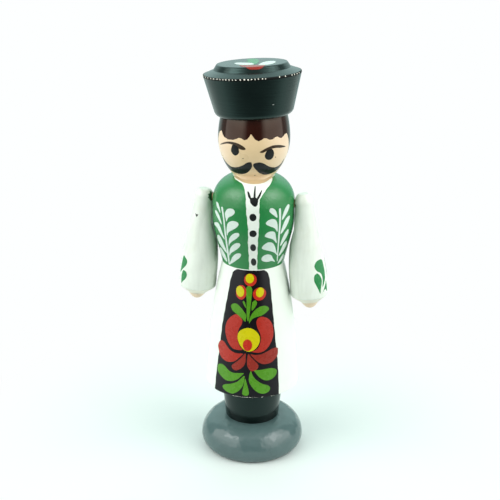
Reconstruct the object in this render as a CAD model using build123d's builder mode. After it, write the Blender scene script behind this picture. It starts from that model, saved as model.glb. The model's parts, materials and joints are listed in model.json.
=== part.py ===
# An incense smoker: a turned and painted wooden figure whose coat lifts off the boots to reach the pan.
# Millimetres. The origin is the centre of the base's underside, +Z is up and the figure faces -Y.
# Left and right are the figure's own, so its left arm is on +X.
import os
from math import asin, cos, degrees, radians, sin, tan

from build123d import *

os.makedirs("parts", exist_ok=True)

# Fits
glue_gap = 0.05  # radial room for glue round a dowel, peg or tenon
turning_gap = 0.08  # radial running clearance of an arm on its peg
lift_gap = 0.3  # radial clearance of the coat over the spigot
arm_gap = 0.35  # between the coat's side and an arm's flat
cuff_gap = 0.3  # between the skirt and a cuff
pan_gap = 1.0  # between the chamber's wall and the pan's rim
seat_gap = 0.1  # between the pan's dimple and the wood under it
end_gap = 0.4  # left for glue at the end of a tenon

# Base: a dome with a rounded foot
base_h = 16.8
base_r = 26.7  # at the widest
base_widest_z = 5.5
base_rest_r = 24.0  # of the flat underside
base_top_r = 14.6  # of the flat under the boots
base_edge_bulge = 0.75
base_dome_bulge = 3.5

# Boots: a tapered cylinder with a spigot for the coat and a boss for the pan
boots_h = 20.7
boots_foot_r = 14.0
boots_top_r = 16.0
boots_edge_round = 0.4
spigot_h = 7.0
spigot_chamfer = 0.6
boss_r = 6.5
boss_h = 2.5
air_r = 1.8  # of the hole down from the spigot's top
air_inlet_r = 1.6  # of the hole in from the back
air_rise = 14.2  # from the base up to the inlet
air_sump = 0.8  # how far the hole from the top runs on below the inlet

# Dowels
dowel_r = 4.0
dowel_chamfer = 0.6
dowel_in_base = 10.0
dowel_in_boots = 11.0
dowel_in_head = 8.5
dowel_in_hat = 9.5

# Incense pan of sheet metal and its countersunk nail
pan_t = 0.5
pan_h = 3.2
pan_flare = 1.4  # how far the rim stands out past the floor
dimple_r = 2.0
nail_r = 0.7
nail_hole_gap = 0.1
nail_head_gap = 0.1
nail_length = 9.0
nail_tip = 1.6
nail_head_angle = 90.0  # degrees, across the head's cone

# Coat: skirt, waist and chest turned as one, with the smoke chamber bored from below
coat_h = 109.1
hem_r = 24.3
hem_round = 0.5
skirt_r = 21.9
skirt_rise = 26.5
hip_r = 18.9
hip_rise = 48.5
waist_r = 15.4
waist_rise = 65.1
chest_r = 20.1
chest_rise = 84.7
chest_round = 30.0
chest_h = 11.8  # of the straight chest, up to the shoulder
shoulder_bulge = 2.75
neck_r = 9.8
chamber_r = 11.5
chamber_h = 72.5
funnel_slope = 31.0  # degrees
duct_r = 2.8

# Head: an egg on a hollow tenon
tenon_r = 6.0
tenon_length = 8.0
head_neck_r = 9.6
jaw_r = 14.3
jaw_rise = 6.4
cheek_r = 17.0
cheek_rise = 15.0
temple_r = 17.0
temple_rise = 22.5
head_h = 29.2
head_top_r = 15.9
smoke_rise = 11.5  # from the neck up to the smoke hole at the back
smoke_hole_r = 2.5

# Hat: flared, with a sloping top and a low crown, set on at a slight lean
hat_lean = 3.2  # degrees, towards the figure's right
hat_foot_r = 18.3
hat_foot_round = 3.2
rim_r = 23.3
rim_h = 19.8
rim_round = 0.5
crown_foot_r = 18.2
crown_foot_h = 21.7
crown_top_r = 16.6
crown_top_h = 24.2
crown_dome = 0.35  # rise of the crown's middle over its edge
crown_round = 0.7

# Arms: whittled sticks, flat against the coat, that turn on shoulder pegs
left_peg_rise = 95.1  # from the hem up to the peg
right_peg_rise = 96.8
peg_r = 2.0
peg_chamfer = 0.3
peg_in_coat = 8.0
peg_in_arm = 5.6
left_top_rise = 5.3  # from the peg up to the arm's end
right_top_rise = 4.1
arm_top_r = 2.4
arm_shoulder_r = 4.7
arm_shoulder_bulge = 0.7
arm_inset = 4.3  # from the flat out to the arm's axis, at the peg
arm_elbow_r = 6.8
arm_elbow_drop = 17.6  # this and the drops below run down from the peg
sleeve_r = 9.0
sleeve_drop = 33.5
cuff_r = 9.4
cuff_drop = 46.8
cuff_round = 1.4
wrist_r = 4.7
wrist_drop = 50.6
hand_drop = 54.2
arm_belly = 1.0  # how much fuller the arm is on the side of the coat
belly_drop = 44.0
flat_below_chest = 1.5  # how far the flat runs on straight below the chest's corner
flat_taper_h = 10.0  # of its lower part, which slopes as the coat does

# Heights that the pieces share
hem_z = base_h + boots_h
spigot_z = hem_z + spigot_h
pan_z = spigot_z + boss_h
skirt_z = hem_z + skirt_rise
hip_z = hem_z + hip_rise
waist_z = hem_z + waist_rise
chest_z = hem_z + chest_rise
shoulder_z = chest_z + chest_h
neck_z = hem_z + coat_h
chamber_z = hem_z + chamber_h
funnel_z = chamber_z + (chamber_r - duct_r) * tan(radians(funnel_slope))
socket_z = neck_z - tenon_length - end_gap
head_top_z = neck_z + head_h
smoke_z = neck_z + smoke_rise
air_z = base_h + air_rise

# Radii and places that follow from a fit
spigot_r = chamber_r - lift_gap
pan_rim_r = chamber_r - pan_gap - pan_t
pan_floor_r = pan_rim_r - pan_flare
nail_hole_r = nail_r + nail_hole_gap
dimple_depth = (dimple_r - nail_hole_r) / tan(radians(nail_head_angle / 2))
nail_head_r = dimple_r - nail_head_gap
nail_head_h = (nail_head_r - nail_r) / tan(radians(nail_head_angle / 2))
air_y = (boss_r + spigot_r) / 2
dowel_hole_r = dowel_r + glue_gap
peg_hole_r = peg_r + glue_gap
arm_flat_x = chest_r + arm_gap
arm_peg_x = arm_flat_x + arm_inset
arm_lean = degrees(asin((hip_r + cuff_gap + cuff_r - arm_peg_x) / cuff_drop))
flat_corner_z = chest_z - flat_below_chest
flat_foot_x = arm_flat_x - flat_taper_h * (chest_r - waist_r) / (chest_z - waist_z)
flat_foot_z = flat_corner_z - flat_taper_h

with BuildPart() as base_foot:
    with BuildSketch(Plane.XZ):
        with BuildLine():
            Line((0, 0), (base_rest_r, 0))
            SagittaArc((base_rest_r, 0), (base_r, base_widest_z), -base_edge_bulge)
            SagittaArc((base_r, base_widest_z), (base_top_r, base_h), -base_dome_bulge)
            Polyline((base_top_r, base_h), (0, base_h), (0, 0))
        make_face()
    revolve(axis=Axis.Z)
    with Locations((0, 0, base_h)):
        Hole(dowel_hole_r, dowel_in_base)
base_foot.part.label = "base_foot"

with BuildPart() as boots_dowel:
    with BuildSketch(Plane.XY.offset(base_h - dowel_in_base)):
        Circle(dowel_r)
    extrude(amount=dowel_in_base + dowel_in_boots)
    chamfer(boots_dowel.edges().filter_by(GeomType.CIRCLE), dowel_chamfer)
boots_dowel.part.label = "boots_dowel"

with BuildPart() as boots:
    with BuildSketch(Plane.XZ):
        with BuildLine():
            Polyline(
                (0, base_h),
                (boots_foot_r, base_h),
                (boots_top_r, hem_z),
                (spigot_r, hem_z),
                (spigot_r, spigot_z),
                (boss_r, spigot_z),
                (boss_r, pan_z),
                (0, pan_z),
                close=True,
            )
        make_face()
    revolve(axis=Axis.Z)
    foot_edge = boots.edges().filter_by(GeomType.CIRCLE).sort_by(Axis.Z)[0]
    spigot_edges = boots.edges().filter_by(lambda e: e.geom_type == GeomType.CIRCLE and e.radius > boss_r)
    fillet(foot_edge, boots_edge_round)
    chamfer(spigot_edges.sort_by(Axis.Z)[-1], spigot_chamfer)
    with Locations(Plane((0, 0, base_h), z_dir=(0, 0, -1))):
        Hole(dowel_hole_r, dowel_in_boots + end_gap)
    with Locations((0, 0, pan_z)):
        CounterSinkHole(nail_r + glue_gap, dimple_r + seat_gap, nail_length + end_gap, nail_head_angle)
    with Locations((0, air_y, spigot_z)):
        Hole(air_r, spigot_z - air_z + air_inlet_r + air_sump)
    with BuildSketch(Plane((0, air_y, air_z), z_dir=(0, 1, 0))):
        Circle(air_inlet_r)
    extrude(amount=boots_top_r, mode=Mode.SUBTRACT)
boots.part.label = "boots"

with BuildPart() as incense_pan:
    with BuildSketch(Plane.XZ):
        with BuildLine():
            Polyline(
                (nail_hole_r, pan_z + pan_t - dimple_depth),
                (dimple_r, pan_z + pan_t),
                (pan_floor_r, pan_z + pan_t),
                (pan_rim_r, pan_z + pan_h),
                (pan_rim_r + pan_t, pan_z + pan_h),
                (pan_floor_r + pan_t, pan_z),
                (dimple_r, pan_z),
                (nail_hole_r, pan_z - dimple_depth),
                close=True,
            )
        make_face()
    revolve(axis=Axis.Z)
incense_pan.part.label = "incense_pan"

with BuildPart() as pan_nail:
    with BuildSketch(Plane.XZ):
        with BuildLine():
            Polyline(
                (0, pan_z + pan_t),
                (nail_head_r, pan_z + pan_t),
                (nail_r, pan_z + pan_t - nail_head_h),
                (nail_r, pan_z + nail_tip - nail_length),
                (0, pan_z - nail_length),
                close=True,
            )
        make_face()
    revolve(axis=Axis.Z)
pan_nail.part.label = "pan_nail"

with BuildPart() as coat:
    with BuildSketch(Plane.XZ):
        with BuildLine():
            Spline((hem_r, hem_z), (skirt_r, skirt_z), (hip_r, hip_z), (waist_r, waist_z))
            FilletPolyline(
                (waist_r, waist_z),
                (chest_r, chest_z),
                (chest_r, shoulder_z),
                radius=chest_round,
            )
            SagittaArc((chest_r, shoulder_z), (neck_r, neck_z), -shoulder_bulge)
            Polyline(
                (neck_r, neck_z),
                (tenon_r + glue_gap, neck_z),
                (tenon_r + glue_gap, socket_z),
                (duct_r, socket_z),
                (duct_r, funnel_z),
                (chamber_r, chamber_z),
                (chamber_r, hem_z),
                (hem_r, hem_z),
            )
        make_face()
    revolve(axis=Axis.Z)
    hem_edge = coat.edges().filter_by(lambda e: e.geom_type == GeomType.CIRCLE and e.radius > skirt_r)
    fillet(hem_edge, hem_round)
    for side, peg_rise in ((1, left_peg_rise), (-1, right_peg_rise)):
        with Locations(Plane((side * chest_r, 0, hem_z + peg_rise), z_dir=(side, 0, 0))):
            Hole(peg_hole_r, peg_in_coat)
coat.part.label = "coat"

# The hat's seat leans, and the top of the head is sanded to it.
lean_cos = cos(radians(hat_lean))
lean_sin = sin(radians(hat_lean))
hat_seat = Plane((0, 0, head_top_z), x_dir=(lean_cos, 0, lean_sin), z_dir=(-lean_sin, 0, lean_cos))
hat_section = Plane(hat_seat.origin, x_dir=hat_seat.x_dir, z_dir=-hat_seat.y_dir)
head_spare = 2 * head_top_r * tan(radians(hat_lean))

with BuildPart() as head:
    with BuildSketch(Plane.XZ):
        with BuildLine():
            Polyline(
                (0, head_top_z + head_spare),
                (0, smoke_z + duct_r),
                (duct_r, smoke_z + duct_r),
                (duct_r, neck_z - tenon_length),
                (tenon_r, neck_z - tenon_length),
                (tenon_r, neck_z),
                (head_neck_r, neck_z),
            )
            Spline(
                (head_neck_r, neck_z),
                (jaw_r, neck_z + jaw_rise),
                (cheek_r, neck_z + cheek_rise),
                (temple_r, neck_z + temple_rise),
                (head_top_r, head_top_z),
            )
            Polyline(
                (head_top_r, head_top_z),
                (head_top_r, head_top_z + head_spare),
                (0, head_top_z + head_spare),
            )
        make_face()
    revolve(axis=Axis.Z)
    split(bisect_by=hat_seat, keep=Keep.BOTTOM)
    with Locations(hat_seat):
        Hole(dowel_hole_r, dowel_in_head + end_gap)
    with BuildSketch(Plane((0, 0, smoke_z), z_dir=(0, 1, 0))):
        Circle(smoke_hole_r)
    extrude(amount=2 * cheek_r, mode=Mode.SUBTRACT)
head.part.label = "head"

with BuildPart() as hat_dowel:
    with BuildSketch(hat_seat.offset(-dowel_in_head)):
        Circle(dowel_r)
    extrude(amount=dowel_in_head + dowel_in_hat)
    chamfer(hat_dowel.edges().filter_by(GeomType.CIRCLE), dowel_chamfer)
hat_dowel.part.label = "hat_dowel"

with BuildPart() as hat:
    with BuildSketch(hat_section):
        with BuildLine():
            FilletPolyline(
                (0, 0),
                (hat_foot_r, 0),
                (rim_r, rim_h),
                (crown_foot_r, crown_foot_h),
                radius=[hat_foot_round, rim_round],
            )
            FilletPolyline(
                (crown_foot_r, crown_foot_h),
                (crown_top_r, crown_top_h),
                (0, crown_top_h + crown_dome),
                radius=crown_round,
            )
            Line((0, crown_top_h + crown_dome), (0, 0))
        make_face()
    revolve(axis=Axis(hat_seat.origin, hat_seat.z_dir))
    with Locations(Plane(hat_seat.origin, z_dir=-hat_seat.z_dir)):
        Hole(dowel_hole_r, dowel_in_hat)
hat.part.label = "hat"

figure = [base_foot, boots_dowel, boots, incense_pan, pan_nail, coat, head, hat_dowel, hat]

arm_cos = cos(radians(arm_lean))
arm_sin = sin(radians(arm_lean))
for name, side, peg_rise, top_rise in (
    ("left", 1, left_peg_rise, left_top_rise),
    ("right", -1, right_peg_rise, right_top_rise),
):
    peg_z = hem_z + peg_rise
    arm_section = Plane(
        (side * arm_peg_x, 0, peg_z), x_dir=(side * arm_cos, 0, arm_sin), z_dir=(0, -side, 0)
    )

    belly_section = Plane(
        arm_section.origin - arm_section.x_dir * arm_belly, x_dir=arm_section.x_dir, z_dir=arm_section.z_dir
    )

    with BuildPart() as shoulder_peg:
        with BuildSketch(Plane((side * (chest_r - peg_in_coat), 0, peg_z), z_dir=(side, 0, 0))):
            Circle(peg_r)
        extrude(amount=peg_in_coat + arm_gap + peg_in_arm)
        chamfer(shoulder_peg.edges().filter_by(GeomType.CIRCLE), peg_chamfer)
    shoulder_peg.part.label = f"{name}_shoulder_peg"

    with BuildPart() as arm:
        with BuildSketch(arm_section):
            with BuildLine():
                Line((0, top_rise), (arm_top_r, top_rise))
                SagittaArc((arm_top_r, top_rise), (arm_shoulder_r, 0), arm_shoulder_bulge)
                Spline(
                    (arm_shoulder_r, 0),
                    (arm_elbow_r, -arm_elbow_drop),
                    (sleeve_r, -sleeve_drop),
                    (cuff_r, -cuff_drop),
                )
                Line((cuff_r, -cuff_drop), (wrist_r, -wrist_drop))
                Spline((wrist_r, -wrist_drop), (0, -hand_drop), tangents=((-1, -1), (-1, 0)))
                Line((0, -hand_drop), (0, top_rise))
            make_face()
        revolve(axis=Axis(arm_section.origin, arm_section.y_dir))
        arm_rings = arm.edges().filter_by(GeomType.CIRCLE)
        fillet(arm_rings.filter_by(lambda e: e.radius > sleeve_r), cuff_round)
        with BuildSketch(belly_section):
            with BuildLine():
                Spline(
                    (arm_shoulder_r - 1.2 * arm_belly, 0),
                    (arm_elbow_r, -arm_elbow_drop),
                    (sleeve_r - 0.5 * arm_belly, -sleeve_drop),
                    (cuff_r - 1.2 * arm_belly, -belly_drop),
                )
                Polyline(
                    (cuff_r - 1.2 * arm_belly, -belly_drop),
                    (0, -belly_drop),
                    (0, 0),
                    (arm_shoulder_r - 1.2 * arm_belly, 0),
                )
            make_face()
        revolve(axis=Axis(belly_section.origin, belly_section.y_dir))
        with BuildSketch(Plane.XZ):
            with BuildLine():
                Polyline(
                    (0, peg_z + top_rise + arm_top_r),
                    (side * arm_flat_x, peg_z + top_rise + arm_top_r),
                    (side * arm_flat_x, flat_corner_z),
                    (side * flat_foot_x, flat_foot_z),
                    (0, flat_foot_z),
                    close=True,
                )
            make_face()
        extrude(amount=cuff_r, both=True, mode=Mode.SUBTRACT)
        with Locations(Plane((side * arm_flat_x, 0, peg_z), z_dir=(-side, 0, 0))):
            Hole(peg_r + turning_gap, peg_in_arm + end_gap)
    arm.part.label = f"{name}_arm"
    figure += [shoulder_peg, arm]

for piece in figure:
    export_step(piece.part, f"parts/{piece.part.label}.step")
    print(piece.part.label, round(piece.part.volume, 1))
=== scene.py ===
# %% [markdown]
# # A turned and painted incense smoker
# The figure is turned from wood on a lathe, lacquered in flat colours and then painted by hand with a
# loaded brush. The solids come ready made from the CAD frame, so this lesson is about everything on top of
# them: the lacquers, the broad coats of paint, the brush strokes, the wear and the light.
#
# Lengths are written in millimetres, as on a drawing, and MM turns them into Blender's metres.

# %% Load the frame
import json
import math
import random

import bpy
import numpy as np
from mathutils import Matrix, Vector
from mathutils.geometry import delaunay_2d_cdt

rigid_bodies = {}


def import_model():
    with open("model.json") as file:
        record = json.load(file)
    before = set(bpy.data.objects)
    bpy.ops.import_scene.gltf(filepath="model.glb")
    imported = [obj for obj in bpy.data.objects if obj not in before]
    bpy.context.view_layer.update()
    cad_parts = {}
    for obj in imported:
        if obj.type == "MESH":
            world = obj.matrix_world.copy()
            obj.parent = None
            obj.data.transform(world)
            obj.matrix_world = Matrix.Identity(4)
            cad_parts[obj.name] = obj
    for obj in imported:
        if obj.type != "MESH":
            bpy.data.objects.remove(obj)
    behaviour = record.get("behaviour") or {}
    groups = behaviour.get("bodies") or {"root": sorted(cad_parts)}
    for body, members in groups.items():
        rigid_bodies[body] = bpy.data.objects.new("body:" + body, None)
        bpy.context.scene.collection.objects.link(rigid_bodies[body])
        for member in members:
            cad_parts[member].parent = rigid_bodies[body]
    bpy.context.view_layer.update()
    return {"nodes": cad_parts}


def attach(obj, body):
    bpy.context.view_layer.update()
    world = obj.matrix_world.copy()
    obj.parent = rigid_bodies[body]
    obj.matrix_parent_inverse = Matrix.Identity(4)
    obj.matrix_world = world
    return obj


for leftover in list(bpy.data.objects):
    bpy.data.objects.remove(leftover, do_unlink=True)
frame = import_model()
MM = 0.001
scene = bpy.context.scene
scene.view_settings.view_transform = "Standard"
print("solids in the frame:", ", ".join(sorted(frame["nodes"])))

# %% [markdown]
# ## The camera
# The figure was photographed from a little above and 8 degrees round towards its left hand. A lens of about
# 65 mm at less than half a metre gives the strong narrowing towards the feet. The camera is tipped sideways
# by less than half a degree, as a hand-held one is, and a small shift puts the figure just right of the
# middle.

# %% Set up the camera
CAMERA_TURN = math.radians(8.0)
CAMERA_DISTANCE = 425 * MM
CAMERA_HEIGHT = 257 * MM
LOOK_DOWN = 19.386  # degrees
TIP_SIDEWAYS = 0.42  # degrees
lens = bpy.data.cameras.new("camera")
lens.lens = 64.94  # mm
lens.sensor_width = 36
lens.sensor_fit = "HORIZONTAL"
lens.shift_x = -0.0066
lens.clip_start = 0.01
camera = bpy.data.objects.new("camera", lens)
scene.collection.objects.link(camera)
scene.camera = camera
camera.matrix_world = (
    Matrix.Rotation(CAMERA_TURN, 4, "Z")
    @ Matrix.Translation((0, -CAMERA_DISTANCE, CAMERA_HEIGHT))
    @ Matrix.Rotation(math.radians(90 - LOOK_DOWN), 4, "X")
    @ Matrix.Rotation(math.radians(TIP_SIDEWAYS), 4, "Z")
)
print("camera at", [round(c, 3) for c in camera.matrix_world.translation])

# %% [markdown]
# ## Small helpers for shader nodes
# Every finish below is a Principled shader with a few nodes in front of it. One helper adds a node and
# fills its sockets, with numbers or with links to other nodes. The others name the few kinds of node that
# the finishes need: arithmetic, a spread from one range to another, a mix of two colours.

# %% Node helpers
def rgb(*screen):
    """A colour picked as 0 to 255 screen values, in the linear numbers that shaders want."""
    return tuple(((c / 255 + 0.055) / 1.055) ** 2.4 if c > 10 else c / 255 / 12.92 for c in screen)


def add(tree, kind, inputs=(), **settings):
    """A node with its settings, and its sockets linked to other nodes or set to values."""
    node = tree.nodes.new(kind)
    for key, value in settings.items():
        setattr(node, key, value)
    for key, value in dict(inputs).items():
        if isinstance(value, bpy.types.NodeSocket):
            tree.links.new(value, node.inputs[key])
        else:
            node.inputs[key].default_value = value
    return node


def calc(tree, operation, *values):
    return add(tree, "ShaderNodeMath", dict(enumerate(values)), operation=operation).outputs[0]


def vector_calc(tree, operation, *values):
    """Arithmetic with places and ways. Lengths, distances and products of two ways are plain numbers."""
    node = add(tree, "ShaderNodeVectorMath", dict(enumerate(values)), operation=operation)
    return node.outputs["Value" if operation in ("LENGTH", "DISTANCE", "DOT_PRODUCT") else "Vector"]


def along_axis(tree, vector, axis):
    """One of the three numbers of a place or a facing: 0 for X, 1 for Y and 2 for Z."""
    return add(tree, "ShaderNodeSeparateXYZ", {0: vector}).outputs[axis]


def between(tree, value, low, high, start=0.3, end=0.7, kind="LINEAR"):
    """Spreads a value from one range over another. The first range suits a noise."""
    limits = {"From Min": start, "From Max": end, "To Min": low, "To Max": high}
    return add(tree, "ShaderNodeMapRange", {"Value": value, **limits}, interpolation_type=kind).outputs[0]


def blend_colours(tree, share, first, second):
    colours = [c if isinstance(c, bpy.types.NodeSocket) else (*c, 1) for c in (first, second)]
    mix = add(tree, "ShaderNodeMix", {0: share, 6: colours[0], 7: colours[1]}, data_type="RGBA")
    return mix.outputs[2]


print("mid grey on the screen is", round(rgb(128)[0], 3), "in a shader")

# %% [markdown]
# ## Noise
# Nothing on a hand-made thing is quite even. A noise that is stretched to a size in the wood's own space
# stays with its piece when that moves. Stretched flat, it gives the rings that a turning tool leaves. Left
# even, it gives blotches.

# %% Noise helper
def noise(tree, per_metre, detail=3.0):
    """Noise with so many features to the metre along X, Y and Z."""
    place = add(tree, "ShaderNodeTexCoord").outputs["Object"]
    stretch = add(tree, "ShaderNodeMapping", {"Vector": place, "Scale": per_metre}).outputs[0]
    inputs = {"Vector": stretch, "Scale": 1.0, "Detail": detail}
    return add(tree, "ShaderNodeTexNoise", inputs).outputs["Fac"]


print("node helpers ready")

# %% [markdown]
# ## A finish in two steps
# Lacquer, enamel, bare wood and metal start and end alike: a shader with its colour and gloss, and at last
# a colour, a roughness and a fine relief joined to it. These two steps are written once. The sheen is the
# strength of the gloss in red, green and blue, because the black lacquers shine slightly green.

# %% Helpers for a finish
def scaled(colour, share):
    return tuple(min(c * share, 1.0) for c in colour)


def new_finish(name, colour, gloss, sheen=(0.5, 0.5, 0.5)):
    """A material, its nodes and its shader."""
    material = bpy.data.materials.new(name)
    material.use_nodes = True
    surface = material.node_tree.nodes["Principled BSDF"]
    surface.inputs["Base Color"].default_value = (*colour, 1)
    surface.inputs["Roughness"].default_value = gloss
    surface.inputs["IOR"].default_value = 1.5
    surface.inputs["Specular IOR Level"].default_value = max(sheen)
    surface.inputs["Specular Tint"].default_value = (*[s / max(sheen) for s in sheen], 1)
    return material, material.node_tree, surface


def laid_on(tree, surface, tint, shine, relief, strength, depth):
    """Joins a colour, a roughness and a relief, whose depth is in millimetres, to the shader."""
    bump = add(tree, "ShaderNodeBump", {"Height": relief, "Strength": strength, "Distance": depth * MM})
    tree.links.new(tint, surface.inputs["Base Color"])
    tree.links.new(shine, surface.inputs["Roughness"])
    tree.links.new(bump.outputs[0], surface.inputs["Normal"])


def drifting(tree, share, colour, drift):
    """A colour that wanders between a little darker and a little lighter."""
    return blend_colours(tree, share, scaled(colour, 1 - drift), scaled(colour, 1 + drift))


print("helpers for a finish ready")

# %% [markdown]
# ## Lacquer and bare wood
# The figure's ground coats are brushed lacquers. They pool and thin, so the colour drifts a little over a
# few millimetres and the gloss drifts with it. The rings of the lathe and a fine orange peel still show
# through, and on the base the brush has left soft waves that break up the highlights. Wood that nobody
# sees, such as the bore and the spigot, was left bare, so a lacquer can stop at a radius and a height
# measured in the wood's own space.

# %% Make the lacquers
def bare_part(tree, radius, low, high):
    """1 where the wood is within a radius of the axis and between two heights, in millimetres."""
    place = add(tree, "ShaderNodeTexCoord").outputs["Object"]
    reach = vector_calc(tree, "LENGTH", vector_calc(tree, "MULTIPLY", place, (1, 1, 0)))
    height = along_axis(tree, place, 2)
    inside = calc(tree, "LESS_THAN", reach, radius * MM)
    above = calc(tree, "GREATER_THAN", height, low * MM)
    below = calc(tree, "LESS_THAN", height, high * MM)
    return calc(tree, "MULTIPLY", inside, calc(tree, "MULTIPLY", above, below))


def lacquer(
    name, colour, gloss, drift=0.06, rings=0.3, peel=0.25, sheen=(0.5, 0.5, 0.5), bare=None,
    wood=(0.5, 0.33, 0.19), waves=0.0,
):
    material, tree, surface = new_finish(name, colour, gloss, sheen)
    pools = noise(tree, (130, 130, 130))
    lathe = noise(tree, (45, 45, 1900), 2.0)
    fine = noise(tree, (1300, 1300, 1300), 2.0)
    tint = drifting(tree, between(tree, pools, 0.0, 1.0), colour, drift)
    shine = between(tree, pools, gloss * 0.85, gloss * 1.2)
    if bare:
        share = bare_part(tree, *bare)
        grain = noise(tree, (900, 900, 60), 4.0)
        timber = blend_colours(tree, between(tree, grain, 0.0, 1.0), scaled(wood, 0.8), scaled(wood, 1.15))
        tint = blend_colours(tree, share, tint, timber)
        shine = calc(tree, "ADD", shine, calc(tree, "MULTIPLY", share, 0.45))
    relief = calc(tree, "ADD", calc(tree, "MULTIPLY", lathe, rings), calc(tree, "MULTIPLY", fine, peel))
    relief = calc(tree, "ADD", relief, calc(tree, "MULTIPLY", pools, waves))
    laid_on(tree, surface, tint, shine, relief, strength=0.35, depth=0.06)
    return material


HAT_SHEEN = (0.22, 0.385, 0.36)
BOOT_SHEEN = (0.2, 0.31, 0.3)
COAT_BORE = (11.9, 30, 138.5)  # radius, from, to
SPIGOT = (11.7, 37.6, 60)
SMOKED_WOOD = (0.30, 0.19, 0.11)
white_lacquer = lacquer(
    "white_lacquer", rgb(226, 233, 224), 0.34, 0.012, 0.25, 0.3, bare=COAT_BORE, wood=SMOKED_WOOD
)
sleeve_lacquer = lacquer("sleeve_lacquer", rgb(225, 232, 222), 0.36, 0.025, 0.15, 0.4)
skin_paint = lacquer("skin_paint", rgb(222, 195, 153), 0.3, 0.02, 0.15, 0.25)
hat_lacquer = lacquer("hat_lacquer", rgb(10, 15, 14), 0.18, 0.1, 2.8, 0.2, HAT_SHEEN)
boot_lacquer = lacquer("boot_lacquer", rgb(10, 16, 15), 0.16, 0.1, 0.4, 0.15, BOOT_SHEEN, SPIGOT)
grey_lacquer = lacquer("grey_lacquer", rgb(73, 94, 94), 0.1, 0.05, 1.0, 0.2, waves=34.0)
print("ground lacquers made")

# %% [markdown]
# ## Painted light and shade on the face
# The cheeks are painted paler and pinker than the middle of the face, as painted light from the side
# cloths. The chin is painted a little lighter, as painted light under the moustache, and the neck is
# painted darker, as painted shade round the joint of head and coat. Each tint is mixed over the finished
# lacquer by a share that is worked out from the place in the wood's own space, so it stays with the piece.
# Painting the tints into an image would need a texture for no gain.

# %% Paint light on the cheeks and the chin and shade on the neck
def overlaid(material, share_of, colour):
    """Mixes a colour into a finished lacquer, by a share that a function works out with nodes."""
    tree = material.node_tree
    base = tree.nodes["Principled BSDF"].inputs["Base Color"]
    under = base.links[0].from_socket
    place = add(tree, "ShaderNodeTexCoord")
    tree.links.new(blend_colours(tree, share_of(tree, place), under, colour), base)


def cheeks(tree, place):
    across = along_axis(tree, place.outputs["Object"], 0)
    from_nose = calc(tree, "ABSOLUTE", calc(tree, "SUBTRACT", across, 1.5 * MM))
    return between(tree, from_nose, 0.0, 1.0, 5.0 * MM, 14.5 * MM)


def up_to(full, none):
    """A function for a share that is 1 up to a height in millimetres and fades out to another."""

    def share(tree, place):
        height = along_axis(tree, place.outputs["Object"], 2)
        return between(tree, height, 1.0, 0.0, full * MM, none * MM)

    return share


# painted light: the cheeks paler and pinker, as if lit from the side cloths
overlaid(skin_paint, cheeks, rgb(231, 205, 176))
# painted light: the chin lighter, under the moustache
overlaid(skin_paint, up_to(148.5, 153.0), rgb(241, 211, 170))
# painted shade: darker round the joint of head and coat
overlaid(skin_paint, up_to(146.6, 147.8), rgb(191, 166, 127))
print("cheeks, chin and neck tinted")

# %% [markdown]
# ## The stains and the painted light and shade of the sleeves
# The sleeves are whittled rather than turned, so the white is streaky along them and yellowish in patches.
# Their undersides are painted warmer, as painted light from below. Where a sleeve rubs on the vest it
# carries an olive stain, which is also painted shade on the side that faces the coat, and in three places a
# smear of the vest's green. The stain and the painted light go by the facing of the surface, the smears by
# the distance from a point.

# %% Stain the sleeves and paint their light and shade
def streaks(tree, place):
    return between(tree, noise(tree, (520, 520, 75), 3.0), 0.0, 0.1, 0.42, 0.68)


def worn_patches(tree, place):
    return between(tree, noise(tree, (260, 260, 200), 2.0), 0.0, 0.1, 0.5, 0.65)


def underside_painted_light(tree, place):
    return between(tree, along_axis(tree, place.outputs["Normal"], 2), 1.0, 0.0, -0.75, -0.35)


def rubbed_stain_and_painted_shade(tree, place):
    """Olive stain and painted shade: most on the side that faces the coat, with a ragged edge, and less
    towards the cuff.
    """
    facing = along_axis(tree, place.outputs["Normal"], 0)
    side = calc(tree, "SIGN", along_axis(tree, place.outputs["Object"], 0))
    inward = calc(tree, "MULTIPLY", calc(tree, "MULTIPLY", facing, -1.0), side)
    ragged = between(tree, noise(tree, (300, 300, 240), 3.0), -0.07, 0.07)
    share = between(tree, calc(tree, "ADD", inward, ragged), 0.0, 0.7, 0.86, 0.97)
    height = along_axis(tree, place.outputs["Object"], 2)
    return calc(tree, "MULTIPLY", share, between(tree, height, 0.25, 1.0, 97 * MM, 108 * MM))


def smear(middle, radius):
    """A function for a share that is 1 round a point, both in millimetres, with a ragged edge."""

    def share(tree, place):
        away = vector_calc(tree, "DISTANCE", place.outputs["Object"], tuple(c * MM for c in middle))
        ragged = between(tree, noise(tree, (700, 700, 500), 2.0), -0.7 * MM, 0.7 * MM)
        reach = calc(tree, "ADD", away, ragged)
        return between(tree, reach, 1.0, 0.0, (radius - 0.3) * MM, radius * MM)

    return share


overlaid(sleeve_lacquer, streaks, rgb(150, 160, 146))
overlaid(sleeve_lacquer, worn_patches, rgb(205, 205, 178))
# painted light: the undersides warmer, as if lit from below
overlaid(sleeve_lacquer, underside_painted_light, rgb(232, 226, 208))
# olive stain, also painted shade on the side that faces the coat
overlaid(sleeve_lacquer, rubbed_stain_and_painted_shade, rgb(112, 132, 100))
smears = [((-20.6, -2.0, 135.2), 2.2), ((-20.4, -1.2, 121.3), 1.5), ((20.5, -2.2, 132.0), 1.1)]
for middle, radius in smears:
    overlaid(sleeve_lacquer, smear(middle, radius), rgb(28, 82, 42))
print("sleeves stained, with", len(smears), "smears")

# %% [markdown]
# ## The hidden pieces
# Dowels and pegs are plain beech: pale, with short dark flecks along the grain. The pan is pressed brass
# that smoke has dulled, so its colour runs from bright rim metal to brown, and the nail is plain steel.

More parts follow.
